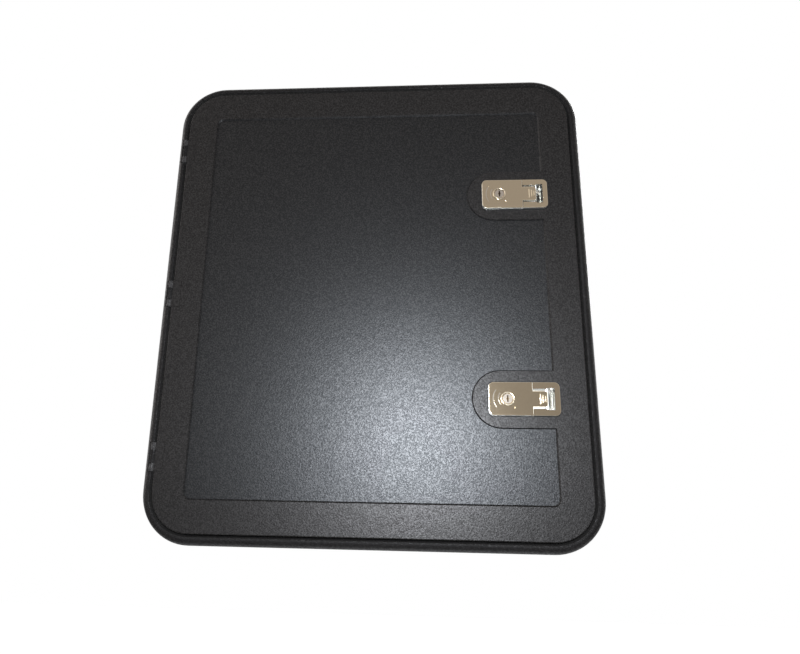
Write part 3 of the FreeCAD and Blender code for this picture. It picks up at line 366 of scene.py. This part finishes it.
def liner_plastic():
    material, flow = new_material("liner_abs")
    place = object_place(flow)[0]
    finish(flow, grained_shader(flow, place, (*LINER_GREY, 1.0), WARM, LINER_GLOSS))
    return material


dress(["outer_frame"], frame_plastic())
dress(["door_panel"], leaf_plastic())
dress(["hinge_leaf_lower", "hinge_leaf_middle", "hinge_leaf_upper"], hinge_plastic())
dress(["inner_liner"], liner_plastic())


# Seals, foam, bolts and steel parts
# Rubber seals and the foam strip are cut from extruded lengths, the foam core is cut from board, and the
# bolts are moulded in acetal. Brackets and strikes are pressed from steel with a slightly cloudy zinc plating.
CLOUD_SHARE = 0.18        # how far a finish strays from its mean colour
GLOSS_SHARE = 0.4         # spread of its roughness


def plain_finish(name, colour, roughness, metallic, ior, grain_mm, depth_mm):
    """A finish whose tone, gloss and surface vary a little, at the given grain."""
    material, flow = new_material(name)
    place = flow.node("ShaderNodeTexCoord", {}, {}, "Object")
    grain = flow.node("ShaderNodeTexNoise", {},
                      {"Vector": place, "Scale": 1.0 / (grain_mm * MM), "Detail": 3.0}, "Fac")
    dark = tuple(channel * (1 - CLOUD_SHARE) for channel in colour)
    pale = tuple(channel * (1 + CLOUD_SHARE) for channel in colour)
    rough = grain * (GLOSS_SHARE * roughness) + (1 - GLOSS_SHARE / 2) * roughness
    normal = flow.node("ShaderNodeBump", {}, {"Strength": 1.0, "Distance": depth_mm * MM, "Height": grain})
    finish(flow, flow.node("ShaderNodeBsdfPrincipled", {}, {
        "Base Color": blend(flow, grain, dark, pale), "Roughness": rough, "Metallic": metallic,
        "IOR": ior, "Normal": normal}))
    return material


sides = ("lower", "upper")
rubber = plain_finish("black_rubber", (0.010, 0.010, 0.010), 0.8, 0.0, 1.3, 0.8, 0.05)
dress(["wall_gasket", "door_seal"] + ["latch_gasket_" + side for side in sides], rubber)
foam = plain_finish("white_foam", (0.78, 0.79, 0.80), 0.9, 0.0, 1.4, 1.2, 0.25)
dress(["insulation_core"], foam)
acetal = plain_finish("black_acetal", (0.02, 0.02, 0.02), 0.35, 0.0, 1.48, 0.6, 0.01)
dress(["latch_bolt_" + side for side in sides], acetal)
steel = plain_finish("zinc_plated_steel", (0.45, 0.45, 0.46), 0.3, 1.0, 1.5, 4.0, 0.01)
dress(["strike_screws", "liner_screws", "hinge_screws"], steel)
for part in ("strike_plate_", "handle_pin_", "key_cam_", "cam_screw_", "latch_bracket_", "bracket_screws_"):
    dress([part + side for side in sides], steel)
dark_steel = plain_finish("blackened_steel", (0.10, 0.10, 0.10), 0.55, 1.0, 1.5, 1.5, 0.02)
dress(["hinge_pin_" + side for side in ("lower", "middle", "upper")], dark_steel)

# Latches
# Die-cast zinc with warm nickel plating. The faces are polished. Their edges, the parts that stand proud and
# the tongue's outline are painted lighter, a painted highlight for their glints, and are rougher so that they
# catch the flash. The side walls, the slots and the finger dish keep the casting's satin, and spread the flash
# that the faces mirror away.
LATCH_Z = 109.0
PLATE_LOW = 116.6         # left and right ends of the plate
PLATE_HIGH = 185.4
PLATE_HALF = 16.3         # half of its height
PLATE_CORNER = 5.0
PLATE_FACE = -14.9
SPLIT_X = 159.0           # where the handle ends above and below its tongue
TONGUE_END = 173.3
TONGUE_HALF = 7.9
TONGUE_CORNER = 2.5
EDGE_BAND = 0.9           # width of the edge's painted highlight
TONGUE_BAND = 0.75          # reach of the painted highlight on each side of the tongue's edge
FACE_DEPTH = 0.25         # depth at which the satin starts
NICKEL = (0.76, 0.65, 0.47)
HIGHLIGHT_NICKEL = (1.0, 0.90, 0.70)
SATIN = (0.97, 0.97, 0.94)
POLISH_BLUR = 420.0       # fineness of the polish's haze
POLISH_ROUGHNESS = 0.075  # of the faces, and what haze, the painted highlights, satin and the tongue's band add to it
HAZE_STEP = 0.05
HIGHLIGHT_ROUGH_STEP = 0.11
SATIN_STEP = 0.09
TONGUE_ROUGH_STEP = 0.10


def cast_nickel():
    material, flow = new_material("cast_nickel")
    place, x, y, z = object_place(flow)
    up = flow.maths("ABSOLUTE", flow.maths("ABSOLUTE", z) - LATCH_Z * MM)
    plate = past_outline(flow, x, up, (PLATE_LOW, PLATE_HIGH), PLATE_HALF, PLATE_CORNER)
    edge_highlight = ramp(flow, plate, -EDGE_BAND, -0.3 * EDGE_BAND)
    tongue = past_outline(flow, x, up, (PLATE_LOW, TONGUE_END), TONGUE_HALF, TONGUE_CORNER)
    lightened = ramp(flow, flow.maths("ABSOLUTE", tongue), TONGUE_BAND, 0.4 * TONGUE_BAND)
    lightened = lightened * ramp(flow, x, SPLIT_X - 0.5 * TONGUE_BAND, SPLIT_X)
    split = ramp(flow, flow.maths("ABSOLUTE", x - SPLIT_X * MM), 0.5 * TONGUE_BAND, 0.2 * TONGUE_BAND)
    split = split * ramp(flow, up, TONGUE_HALF, TONGUE_HALF + TONGUE_BAND)
    lightened = flow.maths("MAXIMUM", lightened, split)
    proud = ramp(flow, y, PLATE_FACE - 0.05, PLATE_FACE - 0.25)
    deep = ramp(flow, y, PLATE_FACE + FACE_DEPTH, PLATE_FACE + 2 * FACE_DEPTH)
    # Painted highlight: the edges, the proud parts and the tongue's outline are lighter.
    painted_highlight = flow.maths("MAXIMUM", flow.maths("MAXIMUM", edge_highlight, proud), lightened)
    colour = blend(flow, deep, blend(flow, painted_highlight, NICKEL, HIGHLIGHT_NICKEL), SATIN)
    haze = flow.node("ShaderNodeTexNoise", {}, {"Vector": place, "Scale": POLISH_BLUR, "Detail": 3.0}, "Fac")
    rough = haze * HAZE_STEP + POLISH_ROUGHNESS + painted_highlight * HIGHLIGHT_ROUGH_STEP + deep * SATIN_STEP + lightened * TONGUE_ROUGH_STEP
    finish(flow, flow.node("ShaderNodeBsdfPrincipled", {}, {
        "Base Color": colour, "Roughness": rough, "Metallic": 1.0}))
    return material


nickel = cast_nickel()
dress(["latch_base_" + side for side in sides] + ["latch_handle_" + side for side in sides], nickel)

# Key barrels
# Turned barrels with a slot for the key, in a bright rounded ring that is pressed into the handle. Deep in
# the slot the metal is painted dark brown, a painted shade.
BARREL_FACE = -15.3
KEYWAY_SHADE = 0.9        # depth from the face at which the slot's painted shade is full
LOCK_NICKEL = (0.82, 0.75, 0.65)
KEYWAY_PAINTED_SHADE = (0.10, 0.065, 0.035)
TURNING_BLUR = 900.0      # fineness of the turned surface's haze
TURNED_ROUGHNESS = 0.15   # and what haze and the slot add to it
TURNING_STEP = 0.06
KEYWAY_STEP = 0.3


def turned_nickel():
    material, flow = new_material("turned_nickel")
    place, _, y, _ = object_place(flow)
    # Painted shade: the slot darkens with depth.
    shade = ramp(flow, y, BARREL_FACE + 0.6 * KEYWAY_SHADE, BARREL_FACE + KEYWAY_SHADE)
    haze = flow.node("ShaderNodeTexNoise", {}, {"Vector": place, "Scale": TURNING_BLUR, "Detail": 2.0}, "Fac")
    rough = haze * TURNING_STEP + TURNED_ROUGHNESS + shade * KEYWAY_STEP
    finish(flow, flow.node("ShaderNodeBsdfPrincipled", {}, {
        "Base Color": blend(flow, shade, LOCK_NICKEL, KEYWAY_PAINTED_SHADE), "Roughness": rough, "Metallic": 1.0}))
    return material


lock_metal = turned_nickel()
dress(["key_barrel_" + side for side in sides], lock_metal)

# Bolt springs
# Wound from bright spring wire, between the bracket's end wall and the bolt's cross bar. The bolt draws back
# as its handle lifts and presses the coils together. Each coil here is a merged, smoothed copy that rides with
# the door.
WIRE_MERGE = 0.01
SMOOTH_BELOW = 50         # degrees between faces that are shaded as one

spring_wire = plain_finish("spring_wire", (0.55, 0.54, 0.52), 0.22, 1.0, 1.5, 1.0, 0.01)
for side in sides:
    solid = nodes["bolt_spring_" + side]
    coil = bpy.data.objects.new("coil_" + side, solid.data.copy())
    bpy.context.scene.collection.objects.link(coil)
    bpy.ops.object.select_all(action="DESELECT")
    coil.select_set(True)
    bpy.context.view_layer.objects.active = coil
    bpy.ops.object.mode_set(mode="EDIT")
    bpy.ops.mesh.select_all(action="SELECT")
    bpy.ops.mesh.remove_doubles(threshold=WIRE_MERGE * MM)
    bpy.ops.object.mode_set(mode="OBJECT")
    bpy.ops.object.shade_smooth_by_angle(angle=math.radians(SMOOTH_BELOW))
    coil.data.materials.clear()
    coil.data.materials.append(spring_wire)
    low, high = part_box("bolt_spring_" + side)
    slide = next(joint for joint in frame["joints"] if joint["name"] == "bolt_slide_" + side)
    travel = slide["range_m"][1]
    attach(coil, "door")
    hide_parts("bolt_spring_" + side)
    1 - travel / (high[0] - low[0])
    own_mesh(coil)
